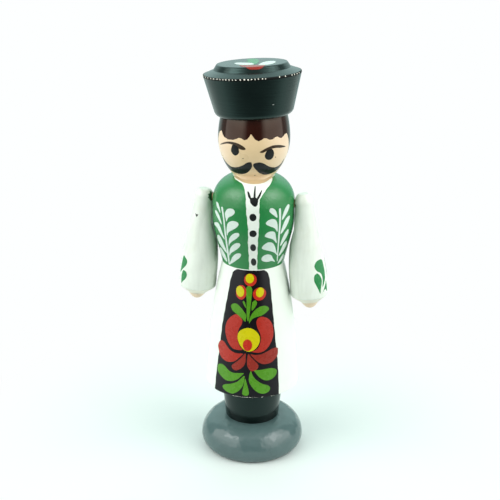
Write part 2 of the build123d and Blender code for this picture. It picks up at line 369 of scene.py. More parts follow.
# %% Make the plain wood and the metals
def plain(name, light, dark, per_metre, roughness, metal=0.0):
    material, tree, surface = new_finish(name, light, roughness)
    surface.inputs["Metallic"].default_value = metal
    grain = noise(tree, per_metre, 5.0)
    tint = blend_colours(tree, between(tree, grain, 0.0, 1.0), light, dark)
    shine = between(tree, grain, roughness * 0.8, roughness * 1.25)
    laid_on(tree, surface, tint, shine, grain, strength=0.3, depth=0.05)
    return material


BEECH = ((0.56, 0.39, 0.23), (0.44, 0.28, 0.15))
beech = plain("beech", *BEECH, (1100, 1100, 70), 0.6)
beech_across = plain("beech_across", *BEECH, (70, 1100, 1100), 0.6)
smoked_brass = plain("smoked_brass", (0.62, 0.44, 0.17), (0.25, 0.16, 0.07), (220, 220, 220), 0.35, 1.0)
nail_steel = plain("nail_steel", (0.45, 0.45, 0.46), (0.3, 0.29, 0.28), (800, 800, 800), 0.4, 1.0)
print("beech, brass and steel made")

# %% [markdown]
# ## Finishing the solids
# Every solid of the frame gets the one finish that it was given in the workshop. Whatever is painted over
# it comes later, as a thin piece of its own.

# %% Finish the solids
ground = {
    "base_foot": grey_lacquer,
    "boots": boot_lacquer,
    "coat": white_lacquer,
    "head": skin_paint,
    "hat": hat_lacquer,
    "left_arm": sleeve_lacquer,
    "right_arm": sleeve_lacquer,
    "boots_dowel": beech,
    "hat_dowel": beech,
    "left_shoulder_peg": beech_across,
    "right_shoulder_peg": beech_across,
    "incense_pan": smoked_brass,
    "pan_nail": nail_steel,
}
for node, material in ground.items():
    mesh = frame["nodes"][node].data
    mesh.materials.clear()
    mesh.materials.append(material)
print("finished solids:", len(ground))

# %% [markdown]
# ## Reading a turned surface
# Paint has to lie on the wood without a gap and without sinking in. Every piece is turned, so its surface
# is known once its outline is known. The class below reads that outline from the solid's own points: height
# along the axis, radius, and the way the surface faces there. A pattern is then drawn flat, as millimetres
# round the piece and millimetres of height, and bent round it. At a crease the solid has two facings at one
# height, so each stretch of outline keeps the facing that suits it at either end.

# %% Read turned outlines from the frame
class Turned:
    def __init__(self, node, foot=(0, 0, 0), lean=0.0, look=0.0, span=(-1000, 1000)):
        tilt = math.radians(lean)
        self.foot = np.array(foot, float)
        self.up = np.array((-math.sin(tilt), 0, math.cos(tilt)))
        self.side = np.array((math.cos(tilt), 0, math.sin(tilt)))
        self.front = np.array((0.0, -1.0, 0.0))
        mesh = frame["nodes"][node].data
        spots = np.array([v.co for v in mesh.vertices]) / MM - self.foot
        facing = np.zeros((len(spots), 3))
        for loop, corner in zip(mesh.loops, mesh.corner_normals):
            facing[loop.vertex_index] = corner.vector
        height = spots @ self.up
        out = spots - height[:, None] * self.up
        radius = np.linalg.norm(out, axis=1)
        out /= radius.clip(1e-6)[:, None]
        turn = np.degrees(np.arctan2(out @ self.side, out @ self.front))
        outward = (facing * out).sum(1)
        kept = (abs(turn - look) < 25) & (outward > 0.01) & (height > span[0]) & (height < span[1])
        rows = {}
        for row in np.stack([height, radius, outward, facing @ self.up], 1)[kept]:
            rows.setdefault(round(row[0], 2), []).append(row)
        outline = [np.array(rows[key]) for key in sorted(rows)]
        self.heights, self.radii = np.array([row[:, :2].mean(0) for row in outline]).T
        rise, grow = np.diff(self.heights), np.diff(self.radii)
        square = np.stack([rise, -grow], 1) / np.hypot(rise, grow)[:, None]
        self.start = np.array([r[(r[:, 2:] @ s).argmax(), 2:] for r, s in zip(outline[:-1], square)])
        self.end = np.array([r[(r[:, 2:] @ s).argmax(), 2:] for r, s in zip(outline[1:], square)])
        self.length = np.concatenate([[0], np.cumsum(np.hypot(rise, grow))])

    def radius(self, height):
        return np.interp(height, self.heights, self.radii)

    def even(self, low, high, count):
        """So many heights from low to high, evenly spaced along the surface."""
        first, last = (np.interp(h, self.heights, self.length) for h in (low, high))
        return np.interp(np.linspace(first, last, count), self.length, self.heights)

    def climb(self, low, high, step):
        """Heights from low to high, about a step apart along the surface."""
        first, last = np.interp((low, high), self.heights, self.length)
        return self.even(low, high, max(int(round((last - first) / step)), 2) + 1)

    def at(self, turn, height, lift):
        """Points in metres and their facings, at an angle in degrees and a height and lift in millimetres."""
        i = np.clip(np.searchsorted(self.heights, height) - 1, 0, len(self.heights) - 2)
        share = (height - self.heights[i]) / (self.heights[i + 1] - self.heights[i])
        share = np.clip(share, 0, 1)[..., None]
        normal = self.start[i] * (1 - share) + self.end[i] * share
        normal /= np.linalg.norm(normal, axis=-1)[..., None]
        angle = np.radians(turn)[..., None]
        out = np.cos(angle) * self.front + np.sin(angle) * self.side
        facing = normal[..., :1] * out + normal[..., 1:] * self.up
        spots = self.foot + out * self.radius(height)[..., None] + np.asarray(height)[..., None] * self.up
        return (spots + facing * np.asarray(lift)[..., None]) * MM, facing

    def pattern(self, middle):
        """A function that bends a flat pattern round the piece, its middle line at an angle in degrees."""

        def bend(flat, lift):
            turn = middle + np.degrees(flat[:, 0] / self.radius(flat[:, 1]))
            return self.at(turn, flat[:, 1], lift)

        return bend


print("reader of turned outlines ready")

# %% [markdown]
# ## The turned pieces
# Coat and head stand upright, the hat leans a little, and the whittled arms are treated as turned about
# their own leaning middle lines. An arm is read on its outer side and the head at its side, where no hole
# disturbs them.

# %% Read the pieces
HAT_LEAN = 3.2
HAT_SEAT = 175.8  # height of the hat's foot
ARM_LEAN = 4.72
coat = Turned("coat")
head = Turned("head", look=90, span=(146.55, 200))
hat = Turned("hat", foot=(0, 0, HAT_SEAT), lean=HAT_LEAN)
left_sleeve = Turned("left_arm", foot=(24.75, 0, 132.6), lean=ARM_LEAN, look=50)
right_sleeve = Turned("right_arm", foot=(-24.75, 0, 134.3), lean=-ARM_LEAN, look=-50)
print("outline points: coat", len(coat.heights), "head", len(head.heights), "hat", len(hat.heights))

# %% [markdown]
# ## Brush-on colours
# The decoration is oil enamel from a loaded brush: slightly raised, glossy, denser where a stroke began.
# The colour therefore drifts over two or three millimetres and the surface has a soft unevenness. The green
# of the vest lies in broad, glossy waves, and the worn places are matt.

# %% Make the enamels
def enamel(
    name, colour, gloss=0.24, drift=0.03, per_metre=330, relief=0.12, wave=0.08, sheen=(0.36, 0.36, 0.36)
):
    material, tree, surface = new_finish(name, colour, gloss, sheen)
    load = noise(tree, per_metre if isinstance(per_metre, tuple) else (per_metre,) * 3, 3.0)
    hairs = noise(tree, (1800, 1800, 700), 2.0)
    tint = drifting(tree, between(tree, load, 0.0, 1.0), colour, drift)
    shine = between(tree, load, gloss * 0.85, gloss * 1.2)
    height = calc(tree, "ADD", calc(tree, "MULTIPLY", load, 0.6), calc(tree, "MULTIPLY", hairs, 0.4))
    laid_on(tree, surface, tint, shine, height, strength=relief, depth=wave)
    return material


vest_green = enamel("vest_green", rgb(33, 121, 61), 0.1, 0.05, 90, 0.24, 1.6, (0.5, 0.5, 0.5))
apron_black = enamel("apron_black", rgb(17, 15, 19), 0.2, 0.06, 200, sheen=(0.24, 0.24, 0.25))
hair_brown = enamel("hair_brown", rgb(42, 15, 10), 0.1, 0.08, (120, 120, 240), sheen=(0.56, 0.47, 0.39))
ink_black = enamel("ink_black", rgb(25, 28, 28), 0.22, 0.08, sheen=(0.4, 0.4, 0.4))
face_black = enamel("face_black", rgb(29, 29, 28), 0.16, 0.08, sheen=(0.2, 0.22, 0.24))
brow_brown = enamel("brow_brown", rgb(50, 35, 17), 0.3, 0.1)
bud_red = enamel("bud_red", rgb(178, 42, 26), 0.27)
petal_red = enamel("petal_red", rgb(164, 42, 30), 0.27, 0.04)
deep_red = enamel("deep_red", rgb(138, 40, 29), 0.27, 0.04)
flower_yellow = enamel("flower_yellow", rgb(194, 185, 3), 0.27)
leaf_green = enamel("leaf_green", rgb(76, 136, 26), 0.27, 0.04)
spray_white = enamel("spray_white", rgb(205, 219, 211), 0.25, 0.02)
cuff_green = enamel("cuff_green", rgb(40, 128, 70), 0.25, 0.05)
hand_paint = enamel("hand_paint", rgb(236, 208, 178), 0.3, 0.03)
chipped_wood = enamel("chipped_wood", rgb(250, 246, 232), 0.7, 0.08, 900, 0.5)
matt_black_and_painted_shade = enamel("matt_black_and_painted_shade", rgb(9, 12, 12), 0.5, 0.1, sheen=(0.12, 0.12, 0.12))
bruise_grey = enamel("bruise_grey", rgb(120, 126, 122), 0.5, 0.2)
print("finishes made so far:", len(bpy.data.materials))

# %% [markdown]
# ## Outlines of brush marks
# A brush mark is a closed outline. Most are a smooth line through a few points, a round touch is an oval,
# and a stem is a line with a width at each point. How deep a point lies inside an outline tells later where
# the mark is to be filled and how thick the paint is there.

# %% Outline helpers
def drawn(points, fine=5):
    """A smooth closed line through a few points."""
    here = np.array(points, float)
    before, after, later = np.roll(here, 1, 0), np.roll(here, -1, 0), np.roll(here, -2, 0)
    t = np.linspace(0, 1, fine, endpoint=False)[:, None, None]
    line = 2 * here + (after - before) * t
    line = line + (2 * before - 5 * here + 4 * after - later) * t**2
    line = line + (3 * here - before - 3 * after + later) * t**3
    return (line / 2).transpose(1, 0, 2).reshape(-1, 2)


def oval(middle, across, tall, tilt=0.0):
    t = np.linspace(0, 2 * math.pi, 28, endpoint=False)
    a = math.radians(tilt)
    x, y = across * np.cos(t), tall * np.sin(t)
    turned = [x * math.cos(a) - y * math.sin(a), x * math.sin(a) + y * math.cos(a)]
    return np.array(middle) + np.stack(turned, 1)


def stroke(line, widths):
    """An outline round a line that has a width at each of its points."""
    line, half = np.array(line, float), np.array(widths, float)[:, None] / 2
    along = np.gradient(line, axis=0)
    along /= np.linalg.norm(along, axis=1)[:, None]
    across = np.stack([-along[:, 1], along[:, 0]], 1)
    tips = [line[-1:] + along[-1:] * half[-1], line[:1] - along[:1] * half[0]]
    return drawn(np.vstack([line - across * half, tips[0], (line + across * half)[::-1], tips[1]]))


def depth_inside(points, outline):
    """How far points lie inside a closed outline, below zero outside it."""
    run = np.roll(outline, -1, 0) - outline
    gap = points[:, None] - outline
    share = np.clip((gap * run).sum(2) / (run * run).sum(1).clip(1e-12), 0, 1)
    near = np.linalg.norm(gap - share[..., None] * run, axis=2).min(1)
    end = outline + run
    crossed = (outline[:, 1] > points[:, None, 1]) != (end[:, 1] > points[:, None, 1])
    slope = run[:, 0] / np.where(run[:, 1] == 0, 1e-12, run[:, 1])
    left_of = points[:, None, 0] < outline[:, 0] + (points[:, None, 1] - outline[:, 1]) * slope
    return np.where((crossed & left_of).sum(1) % 2 == 1, near, -near)


print("points round an oval:", len(oval((0, 0), 1, 1)))

# %% [markdown]
# ## From flat outline to paint
# An outline is filled with triangles small enough to bend. They come from a constrained Delaunay fill,
# which takes any outline. The edge lies on the wood and the paint rises over a third of a millimetre, as
# wet paint does. All marks of one colour become one object, which takes its shading from the wood below.

# %% Brush marks
EDGE = 0.03  # lift of the paint's edge over the wood
MARK_THICK = 0.09
RISE = 0.35  # how far in from its edge the paint is at its full thickness


def painted(name, spots, facings, faces, body, material):
    mesh = bpy.data.meshes.new(name)
    mesh.from_pydata([tuple(p) for p in spots], [], faces)
    mesh.polygons.foreach_set("use_smooth", [True] * len(mesh.polygons))
    mesh.normals_split_custom_set_from_vertices([tuple(n) for n in facings])
    mesh.materials.append(material)
    piece = bpy.data.objects.new(name, mesh)
    scene.collection.objects.link(piece)
    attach(piece, body)
    return piece


def marks(name, bend, outlines, body, material, thick=MARK_THICK, under=0.0, grain=0.8):
    """Brush marks of one colour, on the wood or on another coat that is so thick."""
    spots, facings, faces = [], [], []
    for outline in outlines:
        outline = np.asarray(outline, float)
        (left, low), (right, high) = outline.min(0), outline.max(0)
        grid = np.meshgrid(np.arange(left, right, grain), np.arange(low, high, grain))
        grid = np.stack(grid, 2).reshape(-1, 2)
        inner = grid[depth_inside(grid, outline) > 0.35 * grain]
        edge = [(i, (i + 1) % len(outline)) for i in range(len(outline))]
        filled = delaunay_2d_cdt([Vector(p) for p in np.vstack([outline, inner])], edge, [], 1, 1e-6)
        flat = np.array([v[:] for v in filled[0]])
        depth = np.clip(depth_inside(flat, outline) / RISE, 0, 1)
        place, facing = bend(flat, under + EDGE + (thick - EDGE) * (1 - (1 - depth) ** 2))
        faces += [[len(spots) + i for i in triangle] for triangle in filled[2]]
        spots += list(place)
        facings += list(facing)
    print(name, len(outlines), "marks,", len(faces), "faces")
    return painted(name, spots, facings, faces, body, material)


print("a brush mark is", MARK_THICK, "mm thick")

# %% [markdown]
# ## Broad coats
# A broad coat, such as the vest, is a plain grid of points instead, because it has to follow long edges
# evenly. It is given as angles, heights and lifts. Rows and columns may be given once each, and are spread
# over the grid.

# %% Broad coats
def eased(count, thick, first=EDGE, last=EDGE):
    """Lift across a coat: down on the wood at its edges and full between them."""
    lift = np.full(count, float(thick))
    lift[0], lift[-1] = first, last
    return lift


def eased_round(rows, columns, thick):
    """Lift of a coat that is down on the wood at all four edges."""
    return np.minimum(eased(rows, thick)[:, None], eased(columns, thick))


def grid_faces(rows, columns):
    starts = [i * columns + j for i in range(rows - 1) for j in range(columns - 1)]
    return [(a, a + 1, a + columns + 1, a + columns) for a in starts]


def broad_coat(name, surface, turn, height, lift, body, material, hole=None):
    """A grid of angles, heights and lifts, with an optional test for faces to leave out."""
    turn, height, lift = np.broadcast_arrays(turn, height, lift)
    place, facing = surface.at(turn, height, lift)
    faces = grid_faces(*turn.shape)
    if hole:
        angles, levels = turn.ravel(), height.ravel()
        faces = [f for f in faces if not hole(angles[list(f)].mean(), levels[list(f)].mean())]
    print(name, *turn.shape, "rows and columns")
    return painted(name, place.reshape(-1, 3), facing.reshape(-1, 3), faces, body, material)


print("lift across a coat of five rows:", eased(5, MARK_THICK))

# %% [markdown]
# ## The vest
# The green vest runs from the waist up to the neck and all the way round the back. In front it stands open
# over the white shirt, and its two edges spread into a V under the chin. Each row of the grid starts at the
# wearer's left edge, goes round the back and ends at the right edge. The edges wander slightly, as a brush
# does.

# %% Paint the vest
VEST_MIDDLE = 8.0  # degrees round the coat
VEST_THICK = 0.07
VEST_COLUMNS = 150
VEST_LOW, VEST_TOP = 102.75, 146.5
vest_right_edge = np.array(
    [(-1.9, 102), (-2.2, 111), (-2.6, 116.5), (-2.5, 123.4), (-2.9, 128.4), (-3.5, 133.3), (-3.7, 138.8),
     (-4.1, 142.5), (-4.9, 144.3), (-6.3, 145.3), (-9.1, 145.8), (-11.9, 146.4)]
)
vest_left_edge = np.array(
    [(2.0, 102), (2.0, 111), (2.2, 119.3), (2.6, 125.5), (2.8, 131.9), (2.7, 136.7), (3.0, 139.3),
     (4.2, 141.1), (6.4, 143.3), (8.4, 144.7), (10.3, 146.3)]
)


def edge_turn(edge, heights, wander):
    across = np.interp(heights, edge[:, 1], edge[:, 0])
    across = across + 0.10 * np.sin(heights * 1.3 + wander) + 0.06 * np.sin(heights * 3.1 + 2 * wander)
    return VEST_MIDDLE + np.degrees(across / coat.radius(heights))


rows = coat.climb(VEST_LOW, VEST_TOP, 0.9)
turn = np.linspace(
    edge_turn(vest_left_edge, rows, 0.4), edge_turn(vest_right_edge, rows, 2.1) + 360, VEST_COLUMNS, axis=1
)
lift = eased_round(len(rows), VEST_COLUMNS, VEST_THICK)
broad_coat("vest", coat, turn, rows[:, None], lift, "coat", vest_green)

# %% [markdown]
# ## The leaf sprays
# Each front of the vest carries a spray: one stem, broad drop-shaped leaves on the side of the buttons and
# slim ones on the side of the arm. The two sprays were painted freehand and differ, so they are drawn one
# by one, leaf by leaf, with the broad leaves first. This is the spray on the wearer's right.

# %% Draw the right spray
right_spray = [
    [(-14.6, 131.8), (-13.3, 133.5), (-11.2, 134.1), (-9.6, 133.7), (-9.2, 132.2), (-10.7, 130.6),
     (-12.7, 129.4), (-14.0, 127.2), (-14.4, 128.8), (-14.9, 130.5)],
    [(-13.6, 125.0), (-12.7, 126.9), (-10.4, 128.1), (-8.0, 127.9), (-7.2, 126.8), (-8.5, 124.9),
     (-11.0, 123.2), (-12.8, 121.8), (-13.6, 120.0), (-13.9, 122.3)],
    [(-12.6, 117.7), (-11.6, 119.9), (-9.6, 121.9), (-7.5, 122.5), (-6.8, 121.4), (-8.3, 119.4),
     (-10.8, 117.3), (-12.2, 115.6), (-12.8, 114.0)],
    [(-12.3, 112.1), (-11.2, 114.4), (-9.1, 116.5), (-7.0, 117.1), (-6.3, 116.1), (-7.3, 114.3),
     (-9.5, 112.3), (-11.3, 110.8), (-12.7, 108.9)],
    [(-11.9, 106.2), (-10.8, 108.5), (-9.0, 110.6), (-7.1, 111.4), (-6.0, 110.9), (-6.6, 109.1),
     (-8.5, 107.2), (-10.9, 105.1), (-13.2, 103.5)],
    [(-21.9, 135.1), (-20.1, 134.9), (-18.8, 133.0), (-18.2, 130.5), (-19.6, 131.6), (-21.4, 133.1)],
    [(-23.6, 130.4), (-21.6, 130.7), (-19.1, 129.0), (-17.1, 125.0), (-20.0, 127.0), (-22.8, 129.0)],
    [(-24.9, 123.7), (-20.5, 125.0), (-18.3, 123.3), (-16.6, 120.1), (-15.3, 117.3), (-17.8, 119.1),
     (-21.3, 122.0), (-24.4, 122.8)],
    [(-22.3, 117.5), (-19.8, 118.4), (-17.4, 116.1), (-15.3, 112.4), (-14.4, 109.8), (-17.2, 111.3),
     (-21.1, 113.4), (-22.9, 115.4)],
    [(-22.4, 110.5), (-19.3, 111.1), (-16.2, 108.7), (-14.6, 104.8), (-18.0, 105.9), (-21.9, 107.8)],
]
right_stem = stroke(
    [(-16.8, 133.2), (-15.6, 127.6), (-14.5, 118.4), (-13.5, 108.4), (-13.2, 104.0)],
    [1.2, 0.9, 1.0, 1.2, 0.7],
)
print("leaves on the right:", len(right_spray))

# %% [markdown]
# The spray on the wearer's left is its free mirror image, with rounder leaves and a straighter stem.

# %% Draw the left spray
left_spray = [
    [(8.3, 134.8), (10.0, 134.3), (11.3, 132.6), (11.9, 129.7), (9.8, 131.2), (7.9, 132.9), (7.6, 133.8)],
    [(6.0, 128.0), (7.2, 129.0), (9.3, 129.4), (11.2, 128.4), (12.1, 126.0), (12.1, 122.6), (10.5, 124.6),
     (8.0, 125.9), (6.2, 127.0)],
    [(5.6, 121.7), (6.8, 122.9), (8.9, 123.3), (10.7, 122.4), (11.3, 119.9), (11.9, 116.4), (9.8, 118.8),
     (7.1, 120.1), (5.6, 120.9)],
    [(4.2, 115.3), (5.4, 116.7), (7.4, 117.6), (9.6, 116.9), (11.0, 114.6), (11.9, 111.6), (12.9, 109.0),
     (10.7, 111.3), (7.8, 112.8), (5.4, 113.7), (4.2, 114.5)],
    [(4.0, 108.9), (5.0, 110.4), (7.0, 110.9), (9.0, 110.1), (10.1, 108.1), (11.4, 105.9), (9.4, 106.8),
     (6.9, 106.7), (4.5, 107.5)],
    [(19.5, 134.8), (20.4, 133.4), (18.5, 130.9), (14.9, 127.9), (15.5, 130.8), (17.2, 133.7)],
    [(20.8, 128.8), (20.6, 127.1), (17.9, 123.9), (14.2, 120.9), (15.3, 124.8), (17.8, 128.1)],
    [(19.8, 122.1), (20.2, 119.8), (17.5, 116.6), (14.4, 114.1), (15.3, 117.8), (17.4, 120.9)],
    [(19.4, 115.5), (20.0, 113.2), (17.6, 110.8), (13.8, 108.5), (15.0, 111.6), (16.9, 114.8)],
    [(18.2, 108.5), (18.2, 106.4), (16.4, 105.0), (13.5, 104.1), (14.8, 106.4), (16.7, 108.1)],
]
left_stem = stroke(
    [(13.4, 133.4), (13.6, 128.2), (13.2, 120.6), (13.0, 112.2), (13.0, 106.2)],
    [1.2, 1.1, 1.0, 0.8, 0.6],
)
print("leaves on the left:", len(left_spray))

# %% [markdown]
# Leaves and stems are one white and become one object. The back of the vest isn't known, so it repeats the
# pair.

# %% Paint the leaf sprays
spray_marks = [drawn(leaf) for leaf in right_spray + left_spray] + [right_stem, left_stem]
for name, middle in (("vest_sprays", VEST_MIDDLE), ("vest_back_sprays", VEST_MIDDLE + 180)):
    marks(name, coat.pattern(middle), spray_marks, "coat", spray_white, under=VEST_THICK)

# %% [markdown]
# ## Buttons and tassel
# Down the white strip run four black dots, with a tied tassel above them whose three ends point up to the
# collar. They're single touches of a round brush, so ovals and a few short pointed marks are enough.

# %% Paint the buttons and the tassel
placket_marks = [
    oval((-0.3, 130.7), 1.65, 1.85, 10),
    oval((-0.2, 122.6), 1.75, 1.75),
    oval((-0.1, 115.1), 1.4, 1.95, 5),
    oval((0.2, 107.1), 1.3, 2.1, 5),
    drawn([(-1.7, 139.3), (-0.8, 139.9), (1.1, 139.9), (2.0, 139.1), (2.0, 137.6), (1.5, 136.3),
           (0.6, 135.9), (-0.5, 136.5), (-1.6, 137.8)]),
    drawn([(-3.0, 142.2), (-2.3, 142.2), (-1.4, 140.4), (-1.2, 138.9), (-2.5, 140.1)]),
    drawn([(0.3, 143.8), (0.8, 144.4), (0.9, 143.4), (0.8, 139.2), (-0.1, 139.2)]),
    drawn([(3.8, 143.0), (3.9, 142.5), (3.2, 140.6), (2.0, 138.9), (1.5, 139.5), (2.3, 141.0)]),
]
marks("placket_marks", coat.pattern(VEST_MIDDLE), placket_marks, "coat", ink_black)

# %% [markdown]
# ## The apron
# The black apron hangs from the waist to the hem and widens on the way. It is a grid between two edges,
# like the vest. Its lowest rows lie close together, because there the coat's hem is rounded off within half
# a millimetre and a wider step would cut through the wood.

# %% Paint the apron
APRON_MIDDLE = 2.0  # degrees round the coat
APRON_THICK = 0.07
APRON_COLUMNS = 36
HEM, HEM_ROUNDED, APRON_TOP = 37.505, 38.1, 102.3
apron_right_edge = np.array(
    [(-19.3, 37.5), (-18.7, 44.3), (-17.4, 53.8), (-16.1, 62.1), (-14.8, 72.9), (-13.0, 82.3), (-11.4, 90.1),
     (-10.4, 96.2), (-9.0, 100.6), (-7.5, 101.7), (-6.5, 102.3)]
)
apron_left_edge = np.array(
    [(16.8, 37.5), (16.4, 46.4), (15.6, 56.1), (14.5, 64.1), (12.8, 78.2), (11.4, 89.2), (10.3, 97.1),
     (9.2, 100.8), (8.3, 101.7), (7.2, 102.3)]
)
rows = np.concatenate([coat.climb(HEM, HEM_ROUNDED, 0.07)[:-1], coat.climb(HEM_ROUNDED, APRON_TOP, 1.0)])
first = np.interp(rows, apron_right_edge[:, 1], apron_right_edge[:, 0]) + 0.08 * np.sin(rows * 1.1)
last = np.interp(rows, apron_left_edge[:, 1], apron_left_edge[:, 0]) + 0.08 * np.sin(rows * 0.9 + 1)
across = np.linspace(first, last, APRON_COLUMNS, axis=1)
turn = APRON_MIDDLE + np.degrees(across / coat.radius(rows)[:, None])
lift = eased_round(len(rows), APRON_COLUMNS, APRON_THICK)
broad_coat("apron", coat, turn, rows[:, None], lift, "coat", apron_black)

# %% [markdown]
# ## The reds of the apron's flower
# The flower is a tulip-like bloom with three buds above it and leaves below, a very old village pattern.
# The painter laid the reds first: bright buds, two tall petals with one spreading below them, and three
# lower petals in a darker red.

# %% Paint the reds
on_apron = coat.pattern(APRON_MIDDLE)
bud_marks = [
    oval((0.4, 97.8), 3.1, 3.05),
    oval((-4.0, 91.5), 2.75, 3.55, -6),
    oval((5.1, 91.0), 3.3, 3.2),
]
petal_marks = [
    drawn([(-6.2, 80.4), (-4.6, 79.7), (-3.1, 77.9), (-3.4, 75.6), (-4.7, 73.2), (-5.3, 70.5), (-5.0, 67.0),
           (-4.0, 64.3), (-2.6, 62.9), (-5.0, 62.4), (-8.0, 62.8), (-10.4, 65.1), (-12.0, 68.5),
           (-12.5, 72.0), (-11.6, 75.5), (-9.5, 78.3), (-7.5, 79.9)]),
    drawn([(5.6, 79.6), (7.6, 79.5), (10.0, 78.2), (11.9, 75.6), (12.8, 72.1), (12.6, 68.6), (11.1, 65.3),
           (9.0, 62.8), (6.5, 61.6), (3.8, 61.6), (1.5, 62.2), (3.8, 62.9), (5.4, 64.9), (6.3, 68.0),
           (5.9, 71.1), (4.5, 74.2), (3.9, 77.0), (4.4, 78.7)]),
    drawn([(-15.0, 65.1), (-12.9, 64.8), (-11.3, 63.3), (-9.1, 61.5), (-6.1, 60.6), (-3.2, 60.8),
           (-2.4, 60.6), (-4.2, 58.6), (-6.5, 56.4), (-9.3, 55.3), (-12.4, 55.3), (-15.1, 56.7),
           (-16.7, 59.3), (-17.4, 61.6), (-16.5, 63.8)]),
]
low_petal_marks = [
    drawn([(15.2, 62.7), (15.7, 61.2), (15.4, 58.7), (13.5, 56.6), (10.8, 55.4), (7.6, 55.4), (5.1, 56.7),
           (2.8, 58.8), (1.3, 60.7), (3.5, 60.4), (6.5, 60.6), (9.6, 61.7), (12.5, 62.8)]),
    drawn([(-1.3, 61.0), (-1.0, 59.2), (-1.3, 55.7), (-3.1, 53.2), (-5.7, 51.6), (-7.6, 52.0), (-8.3, 53.6),
           (-6.8, 55.2), (-3.9, 57.9)]),
    drawn([(0.3, 60.8), (1.8, 59.0), (3.9, 56.8), (5.3, 55.0), (4.8, 53.0), (2.7, 51.9), (1.0, 52.5),
           (-0.2, 54.8), (-0.3, 57.9)]),
]
marks("flower_buds", on_apron, bud_marks, "coat", bud_red, under=APRON_THICK)
marks("flower_petals", on_apron, petal_marks, "coat", petal_red, under=APRON_THICK)
marks("flower_low_petals", on_apron, low_petal_marks, "coat", deep_red, under=APRON_THICK)

# %% [markdown]
# ## The greens of the flower
# Three stalks carry the buds, two leaves hang over the bloom, and five more spread out below it down to the
# hem.

# %% Paint the greens
green_marks = [
    stroke([(-0.1, 93.4), (0.0, 88.1), (-0.2, 81.7), (-0.2, 78.0)], [3.0, 2.3, 1.6, 0.7]),
    stroke([(-2.6, 87.0), (-2.0, 85.6), (-1.4, 84.3)], [1.0, 0.9, 0.5]),
    stroke([(2.9, 86.9), (2.4, 85.2), (1.7, 83.4)], [2.2, 1.9, 0.8]),
    drawn([(-9.3, 84.1), (-8.3, 85.2), (-6.3, 85.6), (-4.4, 84.5), (-2.1, 82.0), (-1.1, 80.4), (-1.2, 78.6),
           (-1.6, 77.2), (-3.3, 78.7), (-5.9, 80.5), (-8.2, 81.8), (-9.1, 83.1)]),
    drawn([(0.3, 77.4), (0.7, 79.4), (2.1, 82.0), (4.0, 83.9), (6.0, 84.9), (8.0, 85.0), (9.6, 84.2),
           (10.1, 83.1), (9.1, 82.0), (6.9, 80.5), (3.6, 79.6), (1.9, 78.7), (0.9, 77.3), (0.4, 76.4)]),
    drawn([(-16.9, 51.6), (-15.0, 52.7), (-12.6, 52.5), (-10.1, 50.8), (-7.6, 50.0), (-4.3, 50.4),
           (-1.9, 50.5), (-3.3, 48.8), (-5.3, 46.8), (-8.3, 45.4), (-11.6, 45.1), (-14.9, 46.5),
           (-17.2, 48.6)]),
    drawn([(-1.7, 49.2), (-1.6, 47.0), (-2.4, 43.7), (-4.5, 40.8), (-7.4, 38.9), (-10.3, 39.0),
           (-12.7, 39.9), (-13.6, 41.2), (-12.2, 42.7), (-8.6, 43.9), (-5.1, 45.8)]),
    drawn([(-1.1, 47.8), (-0.2, 45.0), (0.6, 41.8), (0.8, 39.6), (-0.3, 38.7), (-1.9, 38.9), (-2.6, 39.9),
           (-2.0, 43.2), (-1.6, 45.9)]),
    drawn([(1.6, 52.0), (2.6, 49.6), (4.5, 47.2), (7.3, 45.1), (10.5, 43.7), (11.6, 42.1), (10.8, 40.4),
           (8.2, 39.6), (5.4, 40.5), (2.9, 42.7), (1.1, 45.6), (0.7, 48.5)]),
    drawn([(3.3, 52.3), (6.2, 52.4), (9.2, 52.7), (12.2, 52.6), (14.7, 51.5), (15.2, 49.8), (14.0, 47.8),
           (11.2, 46.5), (8.3, 46.9), (5.8, 48.7), (4.0, 51.0)]),
]
marks("flower_greens", on_apron, green_marks, "coat", leaf_green, under=APRON_THICK)

# %% [markdown]
# ## The yellows and the heart
# Yellow went on last, over the dry red, and a red heart over that. Marks that lie over others start from
# the thickness of the coats below them.

# %% Paint the yellows
yellow_marks = [
    oval((0.1, 98.5), 2.05, 2.25),
    oval((-4.5, 91.9), 2.05, 2.65, 8),
    oval((5.3, 91.8), 1.95, 2.4, -10),
    drawn([(0.2, 74.2), (2.8, 73.4), (5.0, 71.1), (5.8, 68.5), (5.2, 65.7), (3.3, 63.2), (0.8, 62.1),
           (-1.4, 62.5), (-3.5, 64.4), (-4.9, 67.0), (-5.3, 69.8), (-4.3, 72.2), (-2.1, 73.7)]),
]
ON_RED = APRON_THICK + MARK_THICK
marks("flower_yellows", on_apron, yellow_marks, "coat", flower_yellow, under=ON_RED)
heart = oval((-0.25, 65.4), 2.3, 3.0)
marks("flower_heart", on_apron, [heart], "coat", bud_red, under=ON_RED + MARK_THICK)

# %% [markdown]
# ## The neck
# The painter carried the skin colour from the chin down over the joint and onto the top of the coat, so the
# neck reads as one piece although the wood is two. It ends in a shallow curve on the white shirt.

# %% Paint the neck onto the coat
NECK_TOP = 146.58
NECK_THICK = 0.06
NECK_ROWS = 10
neck_edge = np.array(
    [(-60, 146.52), (-46, 146.3), (-27, 145.95), (-13, 145.45), (0, 145.15), (8, 145.1), (18, 145.15),
     (32, 145.5), (48, 146.15), (60, 146.35), (72, 146.52)]
)
columns = np.linspace(-60, 72, 70)
low = np.interp(columns, neck_edge[:, 0], neck_edge[:, 1])
lift = eased(NECK_ROWS, NECK_THICK, last=NECK_THICK)[:, None]
broad_coat("neck_skin", coat, columns, coat.even(low, NECK_TOP, NECK_ROWS), lift, "coat", skin_paint)

# %% [markdown]
# ## The joint under the chin
# Head and coat meet in a fine groove, which the paint has filled. The filling runs in a curve from the
# neck's paint to the chin and is drawn towards the groove, as paint is when it dries.

